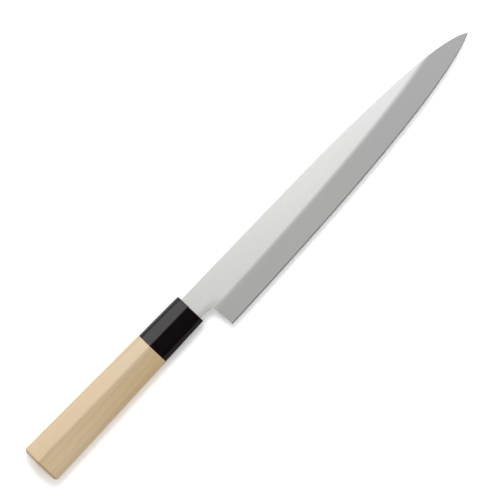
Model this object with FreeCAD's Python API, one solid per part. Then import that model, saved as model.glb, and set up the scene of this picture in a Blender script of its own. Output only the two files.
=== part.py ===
import FreeCAD, Part
import math
import os

# Single-bevel slicing knife with a hidden tang and a ridged oval handle, in millimetres.
# +X runs from the butt to the tip, +Y towards the spine, +Z out of the bevelled face.
# The origin is the centre of the butt face, on the handle's axis.

# Handle, outside
handle_length = 122.3       # butt to ferrule front
ferrule_length = 31.1
front_height = 19.75        # spine side to edge side, at the ferrule front
butt_height = 25.1          # the same at the butt
front_belly = 7.6           # handle axis to the rounded back, at the ferrule front
ridge_stand = 1.9           # ridge above the oval's crown, at the ferrule front
ridge_offset = 1.9          # ridge towards the spine, at the ferrule front
ferrule_ridge_radius = 0.6
wood_ridge_radius = 1.4     # the sanded wood is rounder, both at the ferrule front's size
wood_stand = 0.25           # wood above the ferrule, all round
wood_rim_chamfer = 0.25
butt_chamfer = 1.4
ferrule_chamfer = 0.4

# Handle, inside
ferrule_wall = 2.2          # wall at the ferrule's front, in line with the oval's axes
tenon_play = 0.05           # glue line round the tenon
tenon_cheek = 2.4           # wood above and below the tang's root
wood_behind_tang = 32.0     # solid wood from the butt to the tang's end
bedding = 0.4               # set resin all round the tang

# Tang
tang_step = 0.4             # each face of the neck stands proud of the tang
tang_end_height = 5.0
tang_end_thickness = 1.8

# Blade outline
edge_length = 210.0         # heel corner to tip, along X
neck_length = 9.1           # ferrule front to the heel, under the neck
heel_slant = 1.0            # heel corner ahead of the top of the heel
heel_radius = 2.7           # inside corner between neck and heel
spine_rise = 7.5            # handle axis to the straight spine
neck_drop = 7.9             # handle axis to the neck's underside
edge_drop = 23.2            # handle axis to the edge line, carried back to the ferrule front
tip_drop = 5.3              # handle axis to the tip
straight_spine = 86.0       # ferrule front to where the spine starts to fall
spine_tip_angle = 41.0      # degrees to X, where the spine runs into the tip
edge_tip_angle = 22.4       # the same for the edge
edge_heel_angle = 0.9       # the edge's rise at the heel
spine_shoulder = 0.48       # share of the spine's fall that keeps to the straight spine
spine_point = 0.08          # share of the spine's fall that keeps to the tip angle
edge_belly = 0.66           # share of the edge that keeps to the heel angle
edge_point = 0.094          # share of the edge that keeps to the tip angle

# Blade grinds
neck_thickness = 3.4        # at the ferrule front
tip_thickness = 2.2         # the flat's height above the back, carried on to the tip
bevel_width_heel = 12.6     # edge to the line where bevel and flat meet
bevel_width_tip = 14.3
micro_bevel_width = 0.7
micro_bevel_height = 0.3
edge_thickness = 0.05
wheel_radius = 200.0        # grinding wheel of the hollow back
hollow_rim = 1.8            # flat rim left along the spine and the edge at the heel
hollow_heel_gap = 9.0       # heel corner to the hollow
hollow_tip_gap = 4.0        # hollow to the tip
hollow_nose = 15.0          # length over which the hollow opens out at the heel end
hollow_tail = 57.0          # length over which it runs out at the tip end
hollow_nose_pull = 1.9      # curve pulls at these two ends, in hollow depths
hollow_tail_pull = 0.22

clear = 5.0                 # cutters run this far past what they cut
run_on = 0.03               # share by which a cutter's curves run on past both ends
grind_overrun = 0.4         # share by which a ground face runs on past its two curves
oval_arcs = 4               # cubic arcs that make up an oval
grip_stretches = 4          # lengths in which the grip's skin is laid

shoulder_x = handle_length - ferrule_length
heel_x = handle_length + neck_length + heel_slant
tip_x = heel_x + edge_length
back_z = -neck_thickness / 2
blade_height = spine_rise + edge_drop
tenon_half_height = front_height / 2 - ferrule_wall - tenon_play
tenon_half_depth = front_belly - ferrule_wall - tenon_play
tang_height = 2 * (tenon_half_height - tenon_cheek)
tang_thickness = neck_thickness - 2 * tang_step

V = FreeCAD.Vector
ORIGIN = V(0, 0, 0)
X, Y, Z = V(1, 0, 0), V(0, 1, 0), V(0, 0, 1)


def polygon_face(points):
    return Part.Face(Part.makePolygon(points + points[:1]))


def ruled_solid(*outlines):
    """Solid with straight sides from each closed outline to the next."""
    return Part.makeLoft(list(outlines), True, True)


def bezier(poles):
    curve = Part.BezierCurve()
    curve.setPoles(poles)
    return curve


def arc_pull(turn):
    """Length of a cubic curve's pulls that make it an arc of unit radius."""
    return 4 / 3 * math.tan(turn / 4)


def corner_poles(before, corner, after, radius):
    """Poles of the cubic arc that rounds a corner of an outline."""
    to_before = (before - corner).normalize()
    to_after = (after - corner).normalize()
    opening = to_before.getAngle(to_after)
    setback = radius / math.tan(opening / 2)
    pull = radius * arc_pull(math.pi - opening)
    start = corner + to_before * setback
    end = corner + to_after * setback
    return [start, start - to_before * pull, end - to_after * pull, end]


# Handle

def oval_edges(half_height, half_depth, start_angle=0.0, end_angle=2 * math.pi):
    """Cubic arcs round an oval about the handle's axis; angles run from +Y towards +Z."""
    step = (end_angle - start_angle) / oval_arcs
    pull = arc_pull(step)
    edges = []
    for index in range(oval_arcs):
        angles = start_angle + index * step, start_angle + (index + 1) * step
        near, far = [V(0, half_height * math.cos(a), half_depth * math.sin(a)) for a in angles]
        near_way, far_way = [V(0, -half_height * math.sin(a), half_depth * math.cos(a)) for a in angles]
        edges.append(bezier([near, near + near_way * pull, far - far_way * pull, far]).toShape())
    return edges


def oval_bar(half_height, half_depth, start_x, end_x):
    outline = Part.Wire(oval_edges(half_height, half_depth))
    return ruled_solid(outline.translated(X * start_x), outline.translated(X * end_x))


def front_section(ridge_radius):
    """Outline at the ferrule front: two flat facets run from a ridge to an oval back."""
    half_height = front_height / 2
    ridge = V(0, ridge_offset, front_belly + ridge_stand)
    # The facets touch the oval where tangents from the ridge touch a unit circle, stretched.
    across, up = ridge.y / half_height, ridge.z / front_belly
    spread = math.acos(1 / math.hypot(across, up))
    middle = math.atan2(up, across)
    back = oval_edges(half_height, front_belly, middle + spread, middle - spread + 2 * math.pi)
    edge_touch = back[0].firstVertex().Point
    spine_touch = back[-1].lastVertex().Point
    crest = corner_poles(spine_touch, ridge, edge_touch, ridge_radius)
    return Part.Wire([
        Part.makeLine(spine_touch, crest[0]),
        bezier(crest).toShape(),
        Part.makeLine(crest[-1], edge_touch),
        *back,
    ])


def handle_section(x, ridge_radius, stand=0):
    """The front outline, grown evenly towards the butt, so that the facets stay flat."""
    growth = (butt_height - 2 * wood_stand - front_height) * (1 - x / handle_length)
    height = front_height + growth + 2 * stand
    return front_section(ridge_radius).scaled(height / front_height, ORIGIN).translated(X * x)


def wood_section(x, chamfer=0):
    return handle_section(x, wood_ridge_radius, wood_stand - chamfer)


def make_handle_body():
    stretch = (shoulder_x - wood_rim_chamfer - butt_chamfer) / grip_stretches
    grip = ruled_solid(
        wood_section(0, butt_chamfer),
        *[wood_section(butt_chamfer + index * stretch) for index in range(grip_stretches + 1)],
        wood_section(shoulder_x, wood_rim_chamfer),
    )
    tenon = oval_bar(tenon_half_height, tenon_half_depth, shoulder_x, handle_length)
    return grip.fuse(tenon).cut(make_mortise())


def ferrule_section(x, chamfer=0):
    return handle_section(x, ferrule_ridge_radius, -chamfer)


def make_ferrule():
    ring = ruled_solid(
        ferrule_section(shoulder_x),
        ferrule_section(handle_length - ferrule_chamfer),
        ferrule_section(handle_length, ferrule_chamfer),
    )
    bore = oval_bar(
        tenon_half_height + tenon_play,
        tenon_half_depth + tenon_play,
        shoulder_x - clear,
        handle_length + clear,
    )
    return ring.cut(bore)


# Tang and its bed

def tang_section(x, height, thickness):
    corners = [
        V(x, side_y * height / 2, side_z * thickness / 2)
        for side_y, side_z in ((-1, -1), (1, -1), (1, 1), (-1, 1))
    ]
    return Part.makePolygon(corners + corners[:1])


def tang_bar(margin):
    """The tapered tang, grown by a margin on its sides and its end."""
    root = tang_section(handle_length, tang_height + 2 * margin, tang_thickness + 2 * margin)
    end = tang_section(
        wood_behind_tang - margin,
        tang_end_height + 2 * margin,
        tang_end_thickness + 2 * margin,
    )
    return ruled_solid(root, end)


def make_mortise():
    return tang_bar(bedding)


def make_tang_bedding():
    return make_mortise().cut(tang_bar(0))


# Blade

def flat_z(x):
    """Height of the blade's flat, which thins evenly from the neck to the tip."""
    taper = (neck_thickness - tip_thickness) / (tip_x - handle_length)
    return back_z + neck_thickness - taper * (x - handle_length)


def spine_poles():
    start_x = handle_length + straight_spine
    run = tip_x - start_x
    point = spine_point * run
    return [
        V(start_x, spine_rise, back_z),
        V(start_x + spine_shoulder * run, spine_rise, back_z),
        V(tip_x - point, -tip_drop + point * math.tan(math.radians(spine_tip_angle)), back_z),
        V(tip_x, -tip_drop, back_z),
    ]


def edge_poles():
    run = tip_x - handle_length
    belly = edge_belly * run
    point = edge_point * run
    return [
        V(handle_length, -edge_drop, back_z),
        V(handle_length + belly, -edge_drop + belly * math.tan(math.radians(edge_heel_angle)), back_z),
        V(tip_x - point, -tip_drop - point * math.tan(math.radians(edge_tip_angle)), back_z),
        V(tip_x, -tip_drop, back_z),
    ]


def blade_blank():
    """Full-thickness plate with the blade's outline, carried back to the ferrule front."""
    spine = spine_poles()
    edge = edge_poles()
    neck_top = V(handle_length, spine_rise, back_z)
    outline = Part.Wire([
        Part.makeLine(neck_top, spine[0]),
        bezier(spine).toShape(),
        bezier(edge).toShape(),
        Part.makeLine(edge[0], neck_top),
    ])
    return Part.Face(outline).extrude(Z * neck_thickness)


def above_flat():
    """What the distal taper takes off: everything above the flat."""
    far_x = tip_x + clear
    side_y = -edge_drop - clear
    top_z = back_z + neck_thickness
    wedge = polygon_face([
        V(handle_length, side_y, flat_z(handle_length)),
        V(far_x, side_y, flat_z(far_x)),
        V(far_x, side_y, top_z + clear),
        V(handle_length, side_y, top_z + clear),
    ])
    return wedge.extrude(Y * (blade_height + 2 * clear))


def heel_notch():
    """The open corner under the neck, behind the heel."""
    below_z = back_z - clear
    corner = V(handle_length + neck_length, -neck_drop, below_z)
    heel_line = V(heel_slant, neck_drop - edge_drop, 0)
    neck_rear = V(handle_length - clear, -neck_drop, below_z)
    heel_low = corner + heel_line * 2
    low_rear = V(neck_rear.x, heel_low.y, below_z)
    arc = corner_poles(neck_rear, corner, heel_low, heel_radius)
    outline = Part.Wire([
        bezier(arc).toShape(),
        *Part.makePolygon([arc[-1], heel_low, low_rear, neck_rear, arc[0]]).Edges,
    ])
    return Part.Face(outline).extrude(Z * (neck_thickness + 2 * clear))


def ground_away(low_poles, high_poles):
    """What a grind takes off above the ruled face through two curves, run on past both."""
    rails = []
    for share in (-grind_overrun, 1 + grind_overrun):
        rail = bezier([low + (high - low) * share for low, high in zip(low_poles, high_poles)])
        rail.segment(-run_on, 1 + run_on)
        rails.append(rail.toShape())
    return Part.makeRuledSurface(*rails).extrude(Z * (neck_thickness + clear))


def bevel_and_micro_bevel():
    """The wide bevel up to the flat, and the narrow one along the cutting edge."""
    edge = [pole + Z * edge_thickness for pole in edge_poles()]
    bevel_foot = [pole + V(0, micro_bevel_width, micro_bevel_height) for pole in edge_poles()]
    bevel_top = []
    for index, pole in enumerate(edge_poles()):
        width = bevel_width_heel + (bevel_width_tip - bevel_width_heel) * index / 3
        bevel_top.append(V(pole.x, pole.y + width, flat_z(pole.x)))
    return [ground_away(bevel_foot, bevel_top), ground_away(edge, bevel_foot)]


def hollow_back():
    """The shallow hollow of the back, ground by a wheel whose axis lies along the blade."""
    start = V(heel_x + hollow_heel_gap, (spine_rise - edge_drop) / 2, back_z)
    along = V(tip_x, -tip_drop, back_z) - start
    run = along.Length - hollow_tip_gap
    along.normalize()
    depth = (blade_height - 2 * hollow_rim) ** 2 / (8 * wheel_radius)
    crest = bezier([
        start,
        start + along * hollow_nose + Z * (depth * hollow_nose_pull),
        start + along * (run - hollow_tail) + Z * (depth * hollow_tail_pull),
        start + along * run,
    ])
    crest.segment(-run_on, 1 + run_on)
    first, last = crest.StartPoint, crest.EndPoint
    profile = Part.Face(Part.Wire([
        crest.toShape(),
        *Part.makePolygon([last, last - Z * clear, first - Z * clear, first]).Edges,
    ]))
    axis_point = start - Z * wheel_radius
    half_sweep = math.degrees(math.asin(blade_height / wheel_radius))
    return profile.rotated(axis_point, along, -half_sweep).revolve(axis_point, along, 2 * half_sweep)


def make_blade():
    blade = blade_blank()
    for cutter in [above_flat(), heel_notch(), *bevel_and_micro_bevel(), hollow_back()]:
        blade = blade.cut(cutter)
    return blade.fuse(tang_bar(0)).removeSplitter()


def main():
    os.makedirs("parts", exist_ok=True)
    nodes = {
        "blade": make_blade(),
        "handle_body": make_handle_body(),
        "ferrule": make_ferrule(),
        "tang_bedding": make_tang_bedding(),
    }
    for name, shape in nodes.items():
        shape.exportStep(f"parts/{name}.step")


main()
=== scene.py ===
from bisect import bisect_left
from collections import namedtuple
import math

import bmesh
import bpy
from mathutils import Matrix, Vector


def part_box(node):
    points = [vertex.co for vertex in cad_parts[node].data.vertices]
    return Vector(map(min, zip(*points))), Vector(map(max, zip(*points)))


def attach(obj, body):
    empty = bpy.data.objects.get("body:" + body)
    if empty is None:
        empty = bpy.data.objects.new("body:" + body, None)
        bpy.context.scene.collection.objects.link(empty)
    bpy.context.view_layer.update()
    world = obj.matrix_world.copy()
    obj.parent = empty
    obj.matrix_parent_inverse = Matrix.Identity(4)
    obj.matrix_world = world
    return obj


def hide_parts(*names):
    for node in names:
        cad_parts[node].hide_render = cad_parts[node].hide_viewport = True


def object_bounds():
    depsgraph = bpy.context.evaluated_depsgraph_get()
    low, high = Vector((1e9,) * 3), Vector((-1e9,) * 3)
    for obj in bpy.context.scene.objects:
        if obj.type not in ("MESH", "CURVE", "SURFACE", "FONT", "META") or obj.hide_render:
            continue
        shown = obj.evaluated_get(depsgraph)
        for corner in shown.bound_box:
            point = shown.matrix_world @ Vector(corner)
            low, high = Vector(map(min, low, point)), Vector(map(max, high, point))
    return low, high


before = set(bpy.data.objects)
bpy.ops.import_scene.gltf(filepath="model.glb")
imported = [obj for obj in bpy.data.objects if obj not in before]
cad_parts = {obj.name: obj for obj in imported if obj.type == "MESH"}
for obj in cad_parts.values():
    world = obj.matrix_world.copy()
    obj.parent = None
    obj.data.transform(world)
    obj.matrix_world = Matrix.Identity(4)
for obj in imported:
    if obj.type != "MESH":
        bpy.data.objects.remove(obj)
cad_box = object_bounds()

# Places on the knife: +X runs from the butt to the tip, +Y to the spine side, +Z out of the shown face
neck_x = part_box("handle_body")[1].x     # where the neck comes out of the handle
joint_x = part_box("ferrule")[0].x        # where wood and ferrule meet
tip_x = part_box("blade")[1].x
lengthwise = Vector((1.0, 0.0, 0.0))
upright = Vector((0.0, 1.0, 0.0))
outward = Vector((0.0, 0.0, 1.0))

# Picture: looks straight down on the knife, which lies from the lower left to the upper right
picture_width = 0.281               # what the picture spans in the blade's plane
camera_height = 6.0                 # far off, so that upright faces stay hidden
camera_spot = (0.1692, -0.00128)    # point of the knife's frame under the middle of the picture
picture_right = Vector((0.692, -0.722, 0.0)).normalized()
picture_up = Vector((0.722, 0.692, 0.0)).normalized()
sensor_mm = 36.0                    # Blender takes sensor and lens in millimetres

# Light: a softbox above the spine side, soft walls, a black card low on the edge side, a white one opposite
lamp_direction = Vector((0.17, 0.28, 0.906)).normalized()
lamp_distance = 1.3
lamp_half_angle = 0.15              # radians, seen from the knife
lamp_level = 13.8                   # white is 1
towards_spine = Vector((0.174, 0.985, 0.0)).normalized()
towards_tip = Vector((0.985, -0.174, 0.0)).normalized()
# Levels of the walls, each with its place: from the edge side, at -1, over the top to the spine side, at 1
wall_levels = [(-1.0, 1.5), (-0.5, 0.88), (-0.2, 0.635), (0.1, 0.89), (0.45, 0.44), (1.0, 1.4)]
butt_wall = 0.45                    # share of these levels at the butt's end
card_start = 0.5                    # the black card starts this far over to the edge side
card_full = 0.7                     # and is fully black from here on
strip_start = 0.82                  # the white card starts this far over to the spine side
strip_full = 0.95                   # and has its full level from here on
strip_level = 2.65
card_half_width = 0.22              # both reach this far along the knife
card_end = 0.42                     # and are gone by here
floor_reach = 2.0                   # from the floor's middle to its sides
floor_level = 0.85                  # how white the floor is
floor_mirrored = 1.0                # as the knife mirrors it
floor_shown = 1.42                  # as the camera sees it

# Easing of the edges on the knife, by a stone or a buff
ridge_roll = 0.0014                 # each side of the line where flat and bevel meet
neck_roll = 0.004                   # the neck's face falls away over this width to its underside
neck_fall = 0.00015                 # and by this much
notch_radius = 0.0027               # of the corner between neck and heel
notch_back = 0.0037                 # from the heel's corner back to the middle of that radius
grid_length = 0.004                 # the grid on flat and bevel, along the knife
grid_height = 0.0005                # and across it
spine_ease = 0.00025
neck_ease = 0.0003
neck_start = 0.0003                 # the blade's easing starts this far out of the handle
ridge_clear = 0.008                 # the spine's easing stops this far before the ridge meets it
point_length = 0.022                # and runs out over this length
wood_ease = 0.0004
rim_reach = 0.004                   # edges this close to the butt are eased
rim_turn = math.radians(30)         # where they turn more than this
ease_steps = 4                      # faces across an eased edge
merge_gap = 2e-6
flat_angle = math.radians(0.05)     # faces this close to one plane become one face
sharp_turn = math.radians(28)       # edges that turn more than this are shaded sharp
shading_weight = 80                 # how much large faces set the shading
blade_eased = neck_x + neck_start
blade_start = neck_x + neck_start / 2.0

# Parts of the blade, in the order of its materials, and how their faces look
all_parts = range(6)
flat_part, bevel_part, honed_part, back_part, spine_part, heel_part = all_parts
shown_parts = (flat_part, bevel_part)
flat_lean = 2.0                     # the flat leans less than this, in degrees
bevel_lean = -19.0                  # the bevel leans to the edge side, up to this
honed_lean = -40.0                  # and the micro-bevel up to this
back_normal = -0.7                  # the back looks further down than this
spine_normal = 0.3                  # and the spine further to its side than this

# Steel: fineness is lines per metre along each axis, and depth that of the lines
Grind = namedtuple("Grind", "pale dark rough rough_spread fineness depth")
flat_grind = Grind(pale=(0.546, 0.551, 0.529, 1.0), dark=(0.537, 0.541, 0.521, 1.0), rough=0.28,
                   rough_spread=0.01, fineness=(30.0, 5200.0, 5200.0), depth=0.0000015)
bevel_grind = Grind(pale=(0.552, 0.558, 0.536, 1.0), dark=(0.521, 0.527, 0.506, 1.0), rough=0.32,
                    rough_spread=0.03, fineness=(2400.0, 60.0, 60.0), depth=0.0000015)
# The micro-bevel is honed finer, and its darker colours paint the dark reflection along the cutting edge
honed_grind_painted_dark = Grind(pale=(0.47, 0.475, 0.465, 1.0), dark=(0.40, 0.405, 0.395, 1.0), rough=0.16,
                    rough_spread=0.03, fineness=(5000.0, 300.0, 300.0), depth=0.000002)
back_grind = Grind(pale=(0.64, 0.645, 0.63, 1.0), dark=(0.56, 0.565, 0.55, 1.0), rough=0.32,
                   rough_spread=0.06, fineness=(1900.0, 45.0, 45.0), depth=0.000005)
spine_grind = Grind(pale=(0.64, 0.645, 0.63, 1.0), dark=(0.57, 0.575, 0.56, 1.0), rough=0.30,
                    rough_spread=0.05, fineness=(2200.0, 120.0, 120.0), depth=0.000004)
heel_grind = Grind(pale=(0.62, 0.625, 0.61, 1.0), dark=(0.55, 0.555, 0.54, 1.0), rough=0.30,
                   rough_spread=0.05, fineness=(300.0, 300.0, 2600.0), depth=0.000004)
steel_relief = 0.5                  # strength of the lines' bump
steel_clouds = 0.035                # size of the clouds in the polish
steel_cloudy = 0.35                 # and how much they even out the lines' colour
painted_shade_start = 0.2                    # painted shade on the shown face starts here
painted_shade_end = 0.27                     # and is full here, towards the tip
# Painted shade: the shown face is dimmed and cooled towards the tip, where the softbox's reflection falls
# brightest
flat_tip_painted_shade = (0.967, 0.957, 0.99, 1.0)
bevel_tip_painted_shade = (0.975, 0.968, 1.0, 1.0)

# Wood: colours from a pale ring to a dark one, then what lies over them
ring_colours = [(0.0, (0.665, 0.53, 0.355)), (0.75, (0.635, 0.50, 0.33)), (1.0, (0.59, 0.45, 0.285))]
ring_scale = 95.0                   # gives one ring in about 3.3 mm
pith_offset = (0.0, 0.021, 0.0466)  # from the tree's pith to the handle's axis
pith_lean = (0.0, 0.02, 0.035)      # radians
streak_colour = (0.69, 0.565, 0.395, 1.0)
streak_fineness = (14.0, 420.0, 420.0)
streak_share = (0.0, 0.5)
fibre_colour = (0.57, 0.43, 0.265, 1.0)
fibre_fineness = (45.0, 2600.0, 2600.0)
fibre_share = (-0.1, 0.35)
fibre_depth = 0.00006
fibre_relief = 0.4
pore_colour = (0.45, 0.32, 0.18, 1.0)
pore_fineness = (520.0, 7000.0, 7000.0)
pore_share = (0.0, 0.25)
painted_shading_roll = 0.004                   # the painted shading changes over this far each side of the middle
# Painted light and shade: the spine-side and edge-side facets are tinted apart, and the tints change from
# the butt to the front
spine_painted_shading_butt = (0.965, 0.945, 0.935, 1.0)
spine_painted_shading_front = (0.99, 0.99, 1.03, 1.0)
edge_painted_shading_butt = (1.07, 1.045, 1.0, 1.0)
edge_painted_shading_front = (0.955, 0.885, 0.77, 1.0)
long_grain_shade = (1.0, 1.0, 1.0, 1.0)
end_grain_shade = (0.84, 0.79, 0.72, 1.0)
butt_normal = -0.5                  # faces that look more to the butt's end than this show end grain
front_normal = 0.8                  # and so do those that look squarely to the tip
wood_rough = (0.50, 0.68)
wood_gloss = 0.15

# Black resin of the ferrule
black_dark = (0.0046, 0.0024, 0.0028, 1.0)
black_pale = (0.0066, 0.0040, 0.0044, 1.0)
black_clouds = 0.006
black_fineness = (3500.0, 160.0, 160.0)
black_rough = (0.13, 0.24)
black_depth = 0.00001
black_relief = 0.3
black_gloss = 0.22
flank_start = 0.0077                # the polish dulls from here on the edge side
flank_full = 0.0088                 # to here
flank_rough = 0.6                   # by this much

# Amber resin of the bedding
amber_dark = (0.24, 0.17, 0.09, 1.0)
amber_pale = (0.40, 0.31, 0.19, 1.0)
amber_clouds = 0.0015
amber_rough = (0.3, 0.5)
amber_depth = 0.0001
amber_relief = 0.5


# Nodes for materials

def add(tree, kind, **settings):
    """A new node, with its properties set."""
    made = tree.nodes.new("ShaderNode" + kind)
    for name, value in settings.items():
        setattr(made, name, value)
    return made


def put(node, **values):
    """Sets a node's sockets, by name or as _0, _1 by number: values are written there, sockets linked."""
    tree = node.id_data
    for name, value in values.items():
        by_number = name[1:].isdigit()
        socket = node.inputs[int(name[1:]) if by_number else name.replace("_", " ")]
        if isinstance(value, bpy.types.NodeSocket):
            tree.links.new(value, socket)
        else:
            socket.default_value = value
    return node


def group(name, inputs, outputs):
    """A node group with named sockets. Returns its tree, its inputs' node and its outputs' node."""
    tree = bpy.data.node_groups.new(name, "ShaderNodeTree")
    for label, kind in inputs.items():
        tree.interface.new_socket(label, in_out="INPUT", socket_type="NodeSocket" + kind)
    for label, kind in outputs.items():
        tree.interface.new_socket(label, in_out="OUTPUT", socket_type="NodeSocket" + kind)
    return tree, tree.nodes.new("NodeGroupInput"), tree.nodes.new("NodeGroupOutput")


def use(tree, made_group, **values):
    """A node group placed in a material, with its own values."""
    return put(add(tree, "Group", node_tree=made_group), **values)


def grey(level):
    """A grey colour. White is 1."""
    return (level, level, level, 1.0)


def ramp(tree, mask, stops):
    """A colour ramp. Stops are (place, grey level or colour)."""
    made = put(add(tree, "ValToRGB"), Fac=mask)
    elements = made.color_ramp.elements
    while len(elements) < len(stops):
        elements.new(0.5)
    for element, (place, colour) in zip(elements, stops):
        element.position = place
        element.color = (*colour, 1.0) if isinstance(colour, tuple) else grey(colour)
    return made.outputs["Color"]


def spread(tree, mask, low, high):
    """A mask from 0 to 1, laid out between two values."""
    made = put(add(tree, "MapRange"), Value=mask, To_Min=low, To_Max=high)
    return made.outputs["Result"]


def calculate(tree, operation, *values):
    """A number worked out from others."""
    made = add(tree, "Math", operation=operation)
    for index, value in enumerate(values):
        put(made, **{f"_{index}": value})
    return made.outputs[0]


def minus(tree, value):
    """A number with its sign turned."""
    return calculate(tree, "MULTIPLY", value, -1.0)


def along(tree, place, axis):
    """One coordinate of a place."""
    return put(add(tree, "SeparateXYZ"), _0=place).outputs[axis]


def rise(tree, value, start, end):
    """A mask that goes smoothly from 0 at the start to 1 at the end."""
    made = add(tree, "MapRange", interpolation_type="SMOOTHSTEP")
    return put(made, Value=value, From_Min=start, From_Max=end).outputs["Result"]


def blend_colours(tree, mask, first, second, mode="MIX"):
    """Two colours, mixed by a mask."""
    made = add(tree, "Mix", data_type="RGBA", blend_type=mode)
    return put(made, _0=mask, _6=first, _7=second).outputs[2]


def blend_values(tree, mask, first, second):
    """Two numbers, mixed by a mask."""
    made = add(tree, "Mix", data_type="FLOAT")
    return put(made, _0=mask, _2=first, _3=second).outputs[0]


def relief(tree, height, depth, strength):
    """A bump, as deep as given where the height goes from 0 to 1."""
    return put(add(tree, "Bump"), Height=height, Distance=depth, Strength=strength).outputs[0]


def drawn_lines_group():
    """Fine parallel lines, as a stone, a belt or wood fibres leave them, and the scuffs among them.

    Fineness is lines per metre along each axis.
    """
    tree, given, out = group("drawn_lines", {"Vector": "Vector", "Fineness": "Vector"},
                             {"Lines": "Float", "Scuffs": "Float"})
    scaled = add(tree, "VectorMath", operation="MULTIPLY")
    put(scaled, _0=given.outputs["Vector"], _1=given.outputs["Fineness"])
    fine = put(add(tree, "TexNoise"), Vector=scaled.outputs[0], Scale=1.0, Detail=5.0, Roughness=0.62)
    long = put(add(tree, "TexNoise"), Vector=scaled.outputs[0], Scale=0.31, Detail=2.0, Roughness=0.5)
    scuffs = rise(tree, long.outputs["Fac"], start=0.60, end=0.74)
    put(out, Lines=fine.outputs["Fac"], Scuffs=scuffs)
    return tree


def mottle_group():
    """Soft clouds of the given size in metres, for uneven polish and colour."""
    tree, given, out = group("mottle", {"Vector": "Vector", "Size": "Float"}, {"Clouds": "Float"})
    scale = calculate(tree, "DIVIDE", 1.0, given.outputs["Size"])
    noise = add(tree, "TexNoise")
    put(noise, Vector=given.outputs["Vector"], Scale=scale, Detail=3.0, Roughness=0.55)
    wide = put(add(tree, "MapRange"), Value=noise.outputs["Fac"], From_Min=0.3, From_Max=0.7)
    put(out, Clouds=wide.outputs["Result"])
    return tree


drawn_lines = drawn_lines_group()
mottle = mottle_group()


def new_material(name):
    """A material with its tree, its Principled shader and the Object coordinates."""
    made = bpy.data.materials.new(name)
    made.use_nodes = True
    tree = made.node_tree
    shader = tree.nodes["Principled BSDF"]
    place = add(tree, "TexCoord").outputs["Object"]
    return made, tree, shader, place


# Finishes

def grind(tree, place, lines):
    """Grinding lines on steel. Returns colour, roughness and height."""
    drawn = use(tree, drawn_lines, Vector=place, Fineness=lines.fineness).outputs["Lines"]
    clouds = use(tree, mottle, Vector=place, Size=steel_clouds).outputs["Clouds"]
    tone = blend_colours(tree, drawn, lines.dark, lines.pale)
    cloudy = blend_colours(tree, spread(tree, clouds, 0.0, steel_cloudy), tone, lines.pale)
    roughness = put(add(tree, "MapRange"), Value=drawn, From_Min=0.3, From_Max=0.7,
                    To_Min=lines.rough - lines.rough_spread, To_Max=lines.rough + lines.rough_spread)
    return cloudy, roughness.outputs["Result"], drawn


def steel(name, lines):
    """Satin steel with one set of grinding lines."""
    made, tree, shader, place = new_material(name)
    colour, roughness, height = grind(tree, place, lines)
    bump = relief(tree, height, lines.depth, steel_relief)
    put(shader, Base_Color=colour, Roughness=roughness, Metallic=1.0, Normal=bump)
    return made


def steel_face():
    """The blade's shown face: flat ground lengthwise, bevel across, with a soft change at the ridge, and
    painted shade towards the tip.
    """
    made, tree, shader, place = new_material("steel_face")
    flat_colour, flat_rough, flat_height = grind(tree, place, flat_grind)
    bevel_colour, bevel_rough, bevel_height = grind(tree, place, bevel_grind)
    on_bevel = add(tree, "Attribute", attribute_name="on_bevel").outputs["Fac"]
    ground = blend_colours(tree, on_bevel, flat_colour, bevel_colour)
    # Painted shade: dims and cools the face towards the tip
    tip_painted_shade = blend_colours(tree, on_bevel, flat_tip_painted_shade, bevel_tip_painted_shade)
    to_tip = rise(tree, along(tree, place, "X"), painted_shade_start, painted_shade_end)
    colour = blend_colours(tree, to_tip, ground, tip_painted_shade, "MULTIPLY")
    roughness = blend_values(tree, on_bevel, flat_rough, bevel_rough)
    height = blend_values(tree, on_bevel, flat_height, bevel_height)
    bump = relief(tree, height, flat_grind.depth, steel_relief)
    put(shader, Base_Color=colour, Roughness=roughness, Metallic=1.0, Normal=bump)
    return made


def magnolia(name, shade):
    """Pale magnolia: straight fibres, faint growth rings and small pores, with painted light and shade on
    its spine and edge sides. Shade darkens it.
    """
    made, tree, shader, place = new_material(name)
    from_pith = put(add(tree, "Mapping"), Vector=place, Location=pith_offset, Rotation=pith_lean)
    rings = add(tree, "TexWave", wave_type="RINGS", rings_direction="X", wave_profile="SAW")
    put(rings, Vector=from_pith.outputs[0], Scale=ring_scale, Distortion=1.6, Detail=2.0, Detail_Scale=0.6)
    fibres = use(tree, drawn_lines, Vector=place, Fineness=fibre_fineness).outputs["Lines"]
    streaks = use(tree, drawn_lines, Vector=place, Fineness=streak_fineness).outputs["Lines"]
    pores = use(tree, drawn_lines, Vector=place, Fineness=pore_fineness).outputs["Scuffs"]
    base = ramp(tree, rings.outputs["Fac"], ring_colours)
    streaked = blend_colours(tree, spread(tree, streaks, *streak_share), base, streak_colour)
    fibred = blend_colours(tree, spread(tree, fibres, *fibre_share), streaked, fibre_colour)
    pored = blend_colours(tree, spread(tree, pores, *pore_share), fibred, pore_colour)
    # Painted light and shade: the spine side and the edge side get their own tints, which change along the
    # handle
    painted_shading_side = rise(tree, minus(tree, along(tree, place, "Y")), -painted_shading_roll, painted_shading_roll)
    painted_shading_length = rise(tree, along(tree, place, "X"), 0.0, joint_x)
    spine_painted_shading = blend_colours(tree, painted_shading_length, spine_painted_shading_butt, spine_painted_shading_front)
    edge_painted_shading = blend_colours(tree, painted_shading_length, edge_painted_shading_butt, edge_painted_shading_front)
    tone = blend_colours(tree, painted_shading_side, spine_painted_shading, edge_painted_shading)
    with_painted_shading = blend_colours(tree, 1.0, pored, tone, "MULTIPLY")
    shaded = blend_colours(tree, 1.0, with_painted_shading, shade, "MULTIPLY")
    bump = relief(tree, fibres, fibre_depth, fibre_relief)
    put(shader, Base_Color=shaded, Roughness=spread(tree, fibres, *wood_rough), Normal=bump)
    put(shader, Specular_IOR_Level=wood_gloss)
    return made


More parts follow.
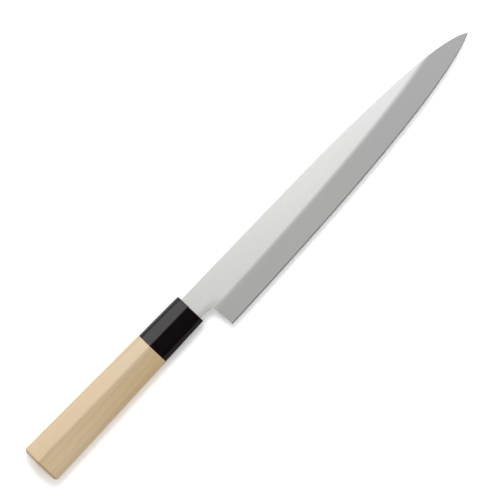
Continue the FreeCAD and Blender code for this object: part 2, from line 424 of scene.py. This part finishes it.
def black_resin():
    """Black moulded resin with a satin polish, duller on its edge-side flank."""
    made, tree, shader, place = new_material("black_resin")
    clouds = use(tree, mottle, Vector=place, Size=black_clouds).outputs["Clouds"]
    polish = use(tree, drawn_lines, Vector=place, Fineness=black_fineness).outputs["Lines"]
    colour = blend_colours(tree, clouds, black_dark, black_pale)
    flank = rise(tree, minus(tree, along(tree, place, "Y")), flank_start, flank_full)
    satin = spread(tree, polish, *black_rough)
    roughness = calculate(tree, "MULTIPLY_ADD", flank, flank_rough, satin)
    bump = relief(tree, polish, black_depth, black_relief)
    put(shader, Base_Color=colour, Roughness=roughness, Normal=bump, Specular_IOR_Level=black_gloss)
    return made


def amber_resin():
    """Set amber resin at the mouth of the handle."""
    made, tree, shader, place = new_material("amber_resin")
    clouds = use(tree, mottle, Vector=place, Size=amber_clouds).outputs["Clouds"]
    colour = blend_colours(tree, clouds, amber_dark, amber_pale)
    bump = relief(tree, clouds, amber_depth, amber_relief)
    put(shader, Base_Color=colour, Roughness=spread(tree, clouds, *amber_rough), Normal=bump)
    return made


# Pieces

def merged_copy(node):
    """A bmesh copy of a CAD node, merged, with each flat stretch as one face."""
    bm = bmesh.new()
    bm.from_mesh(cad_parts[node].data)
    bmesh.ops.remove_doubles(bm, verts=bm.verts, dist=merge_gap)
    bmesh.ops.dissolve_limit(bm, angle_limit=flat_angle, verts=bm.verts, edges=bm.edges)
    bm.normal_update()
    return bm


def easing(bm):
    """The layer that holds how much each edge is eased, as a share of the piece's easing."""
    return bm.edges.layers.float.new("bevel_weight_edge")


def finish_piece(bm, name, node, materials, ease=0.0, sharp=()):
    """Makes the finished piece, which stands for its CAD node: eased edges, smooth shading, materials."""
    for face in bm.faces:
        face.smooth = True
    for edge in bm.edges:
        edge.smooth = edge.calc_face_angle(0.0) < sharp_turn
    for edge in sharp:
        edge.smooth = False
    mesh = bpy.data.meshes.new(name)
    bm.to_mesh(mesh)
    bm.free()
    piece = bpy.data.objects.new(name, mesh)
    bpy.context.scene.collection.objects.link(piece)
    for material in materials:
        mesh.materials.append(material)
    if ease:
        eased = piece.modifiers.new("eased_edges", "BEVEL")
        eased.limit_method = "WEIGHT"
        eased.width = ease
        eased.segments = ease_steps
        eased.use_clamp_overlap = False
        merged = piece.modifiers.new("merged_points", "WELD")
        merged.merge_threshold = merge_gap
    weighted = piece.modifiers.new("even_shading", "WEIGHTED_NORMAL")
    weighted.weight = shading_weight
    weighted.keep_sharp = True
    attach(piece, "root")
    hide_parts(node)
    return piece


def blade_part(face):
    """The part of the blade that a face belongs to. Its lean is 0 facing up, 90 facing the spine side."""
    lean = math.degrees(math.atan2(face.normal.y, face.normal.z))
    if abs(lean) < flat_lean:
        return flat_part
    if bevel_lean < lean < -flat_lean:
        return bevel_part
    if honed_lean < lean <= bevel_lean:
        return honed_part
    if face.normal.z < back_normal:
        return back_part
    if face.normal.y > spine_normal:
        return spine_part
    return heel_part


def faded(share):
    """How much of an easing is left: it thins out gently towards 0."""
    return min(1.0, max(0.0, share)) ** 3


def ridge_rows(bm):
    """The line where flat and bevel meet, from heel to tip: x, y and the bevel's slope."""
    rows = []
    for vert in bm.verts:
        parts = {face.material_index for face in vert.link_faces}
        if parts.issuperset(shown_parts):
            bevels = [face for face in vert.link_faces if face.material_index == bevel_part]
            slope = sum(-face.normal.y / face.normal.z for face in bevels) / len(bevels)
            rows.append((vert.co.x, vert.co.y, slope))
    return sorted(rows)


def row_at(rows, x):
    """The row at x, between its neighbours or in line with the last two."""
    index = min(max(bisect_left(rows, (x,)), 1), len(rows) - 1)
    first, second = rows[index - 1], rows[index]
    share = (x - first[0]) / (second[0] - first[0])
    return [a + (b - a) * share for a, b in zip(first, second)]


def outside_handle(bm, parts, start):
    """The faces of these parts of the blade that lie further out than the start."""
    return [f for f in bm.faces if f.material_index in parts and f.calc_center_median().x > start]


def lay_grid(bm, rows, neck_low, heel_x):
    """Cuts flat and bevel into a grid fine enough to be rolled over, and the other parts crosswise only."""
    first = math.ceil((rows[0][1] - ridge_roll - neck_low) / grid_height)
    last = math.floor((rows[-1][1] + ridge_roll - neck_low) / grid_height)
    cuts = [(lengthwise, blade_eased + grid_length * (step + 1), all_parts, blade_start)
            for step in range(int((tip_x - neck_x) / grid_length))]
    for step in range(first, last + 1):
        # The line level with the neck's underside starts past the heel, clear of the notch's corner
        start = blade_start if step else heel_x + grid_length
        cuts.append((upright, neck_low + grid_height * step, shown_parts, start))
    for way, place, parts, start in cuts:
        faces = outside_handle(bm, parts, start)
        edges = {edge for face in faces for edge in face.edges}
        verts = {vert for face in faces for vert in face.verts}
        bmesh.ops.bisect_plane(bm, geom=[*verts, *edges, *faces], plane_co=way * place, plane_no=way,
                               dist=merge_gap)


def roll_over(bm, rows, notch_x, notch_y):
    """Rolls the ridge and the neck's lower side over, and marks how far each point is on the bevel."""
    mark = bm.verts.layers.float.new("on_bevel")
    for vert in {v for face in outside_handle(bm, shown_parts, blade_start) for v in face.verts}:
        _, ridge_y, slope = row_at(rows, vert.co.x)
        above = (vert.co.y - ridge_y) / ridge_roll
        beyond = math.hypot(max(0.0, vert.co.x - notch_x), vert.co.y - notch_y) - notch_radius
        near_ridge = max(0.0, 1.0 - abs(above))
        near_notch = max(0.0, 1.0 - beyond / neck_roll)
        vert.co.z -= slope * ridge_roll / 4.0 * near_ridge ** 2 + neck_fall * near_notch ** 2
        vert[mark] = min(1.0, max(0.0, (1.0 - above) / 2.0))
    bm.normal_update()


def blade():
    """The blade, with its shown face, micro-bevel, hollow back and spine in their own finishes."""
    bm = merged_copy("blade")
    bmesh.ops.bisect_plane(bm, geom=[*bm.verts, *bm.edges, *bm.faces], plane_co=lengthwise * blade_eased,
                           plane_no=lengthwise)
    for face in bm.faces:
        face.material_index = blade_part(face)
    heel_x = min(bm.verts, key=lambda v: v.co.y).co.x
    neck_low = min(v.co.y for v in bm.verts if abs(v.co.x - blade_eased) < merge_gap)
    notch_y = neck_low - notch_radius
    rows = ridge_rows(bm)
    lay_grid(bm, rows, neck_low, heel_x)
    roll_over(bm, rows, heel_x - notch_back, notch_y)
    eased = easing(bm)
    ease_end = rows[-1][0] - ridge_clear
    sharp = []
    for edge in bm.edges:
        low_x = min(v.co.x for v in edge.verts)
        high_x = max(v.co.x for v in edge.verts)
        low_y = min(v.co.y for v in edge.verts)
        if low_x < blade_start or len(edge.link_faces) != 2:
            continue
        first, second = sorted(face.material_index for face in edge.link_faces)
        if first != second == spine_part:
            edge[eased] = faded((ease_end - high_x) / point_length) * spine_ease / neck_ease
        elif first != second == heel_part and high_x < heel_x:
            edge[eased] = faded((low_y - notch_y) / notch_radius)
        if first != second and honed_part in (first, second):
            sharp.append(edge)
    return finish_piece(bm, "blade_finished", "blade", blade_finishes(), neck_ease, sharp)


def blade_finishes():
    """The blade's materials, in the order of its parts."""
    face = steel_face()
    # The honed micro-bevel's darker steel is a painted dark reflection along the cutting edge
    return [face, face, steel("steel_honed_painted_dark", honed_grind_painted_dark), steel("steel_back", back_grind),
            steel("steel_spine", spine_grind), steel("steel_heel", heel_grind)]


def handle_body():
    """The wooden handle, with an eased rim at its butt."""
    bm = merged_copy("handle_body")
    eased = easing(bm)
    for edge in bm.edges:
        near_butt = all(v.co.x < rim_reach for v in edge.verts)
        if near_butt and edge.calc_face_angle(0.0) > rim_turn:
            edge[eased] = 1.0
    for face in bm.faces:
        face.material_index = int(face.normal.x < butt_normal or face.normal.x > front_normal)
    woods = [magnolia("magnolia", long_grain_shade), magnolia("magnolia_end_grain", end_grain_shade)]
    return finish_piece(bm, "handle_finished", "handle_body", woods, wood_ease)


def ferrule():
    """The black ferrule."""
    bm = merged_copy("ferrule")
    return finish_piece(bm, "ferrule_finished", "ferrule", [black_resin()])


def tang_bedding():
    """The bedding keeps its CAD shape and gets its finish."""
    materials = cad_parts["tang_bedding"].data.materials
    materials.clear()
    materials.append(amber_resin())


# Stage, light and camera

def floor():
    """A plain white floor under the knife, level with the lowest point of the handle."""
    bm = bmesh.new()
    bmesh.ops.create_grid(bm, x_segments=1, y_segments=1, size=floor_reach)
    bmesh.ops.translate(bm, verts=bm.verts, vec=(*camera_spot, cad_box[0].z))
    mesh = bpy.data.meshes.new("floor")
    bm.to_mesh(mesh)
    bm.free()
    plane = bpy.data.objects.new("floor", mesh)
    bpy.context.scene.collection.objects.link(plane)
    made = bpy.data.materials.new("white_floor")
    made.use_nodes = True
    tree = made.node_tree
    tree.nodes.remove(tree.nodes["Principled BSDF"])
    path = add(tree, "LightPath").outputs
    mirrored = calculate(tree, "MAXIMUM", path["Is Glossy Ray"], path["Is Transmission Ray"])
    plain = blend_colours(tree, mirrored, grey(floor_level), grey(floor_mirrored))
    colour = blend_colours(tree, path["Is Camera Ray"], plain, grey(floor_shown))
    white = put(add(tree, "BsdfDiffuse"), Color=colour)
    tree.links.new(white.outputs[0], tree.nodes["Material Output"].inputs["Surface"])
    mesh.materials.append(made)


def how_far(tree, direction, way):
    """How far a direction goes the given way: 1 is straight that way, -1 straight back."""
    made = add(tree, "VectorMath", operation="DOT_PRODUCT")
    return put(made, _0=direction, _1=tuple(way)).outputs["Value"]


def studio_walls():
    """Soft light from walls, ceiling and two cards. The camera sees plain white."""
    world = bpy.data.worlds.new("studio")
    bpy.context.scene.world = world
    world.use_nodes = True
    tree = world.node_tree
    direction = add(tree, "TexCoord").outputs["Generated"]
    to_spine = how_far(tree, direction, towards_spine)
    to_tip = how_far(tree, direction, towards_tip)
    place = put(add(tree, "MapRange"), Value=to_spine, From_Min=-1.0, From_Max=1.0).outputs["Result"]
    brightest = max(level for _, level in wall_levels)
    walls = ramp(tree, place, [((side + 1.0) / 2.0, level / brightest) for side, level in wall_levels])
    end_share = put(add(tree, "MapRange"), Value=to_tip, From_Min=-1.0, From_Max=0.0,
                    To_Min=butt_wall * brightest, To_Max=brightest).outputs["Result"]
    past_cards = rise(tree, calculate(tree, "ABSOLUTE", to_tip), card_half_width, card_end)
    abreast = calculate(tree, "SUBTRACT", 1.0, past_cards)
    low_edge_side = rise(tree, minus(tree, to_spine), card_start, card_full)
    low_spine_side = rise(tree, to_spine, strip_start, strip_full)
    black_card = calculate(tree, "MULTIPLY", abreast, low_edge_side)
    white_card = calculate(tree, "MULTIPLY", abreast, low_spine_side)
    uncovered = calculate(tree, "SUBTRACT", 1.0, black_card)
    soft_level = calculate(tree, "MULTIPLY", calculate(tree, "MULTIPLY", walls, end_share), uncovered)
    level = calculate(tree, "MULTIPLY_ADD", white_card, strip_level, soft_level)
    soft = put(tree.nodes["Background"], Color=grey(1.0), Strength=level)
    white = put(add(tree, "Background"), Color=grey(1.0), Strength=1.0)
    seen = add(tree, "LightPath").outputs["Is Camera Ray"]
    mix = put(add(tree, "MixShader"), _0=seen, _1=soft.outputs[0], _2=white.outputs[0])
    tree.links.new(mix.outputs[0], tree.nodes["World Output"].inputs["Surface"])


def key_lamp():
    """A round softbox above the spine side, which gives the knife its shadow."""
    radius = lamp_distance * math.tan(lamp_half_angle)
    data = bpy.data.lights.new("softbox", "AREA")
    data.shape = "DISK"
    data.size = 2.0 * radius
    # A disk gives off pi times its area at level 1
    data.energy = lamp_level * math.pi * math.pi * radius ** 2
    lamp = bpy.data.objects.new("softbox", data)
    bpy.context.scene.collection.objects.link(lamp)
    lamp.location = Vector((*camera_spot, 0.0)) + lamp_direction * lamp_distance
    lamp.rotation_euler = lamp_direction.to_track_quat("Z", "Y").to_euler()


def camera():
    """Looks straight down, turned so that the knife lies across the picture."""
    data = bpy.data.cameras.new("camera")
    data.sensor_width = sensor_mm
    data.lens = sensor_mm * camera_height / picture_width
    made = bpy.data.objects.new("camera", data)
    bpy.context.scene.collection.objects.link(made)
    turn = Matrix((picture_right, picture_up, outward)).transposed().to_4x4()
    made.matrix_world = Matrix.Translation((*camera_spot, camera_height)) @ turn
    bpy.context.scene.camera = made


blade()
handle_body()
ferrule()
tang_bedding()
floor()
studio_walls()
key_lamp()
camera()
bpy.context.scene.view_settings.view_transform = "Standard"
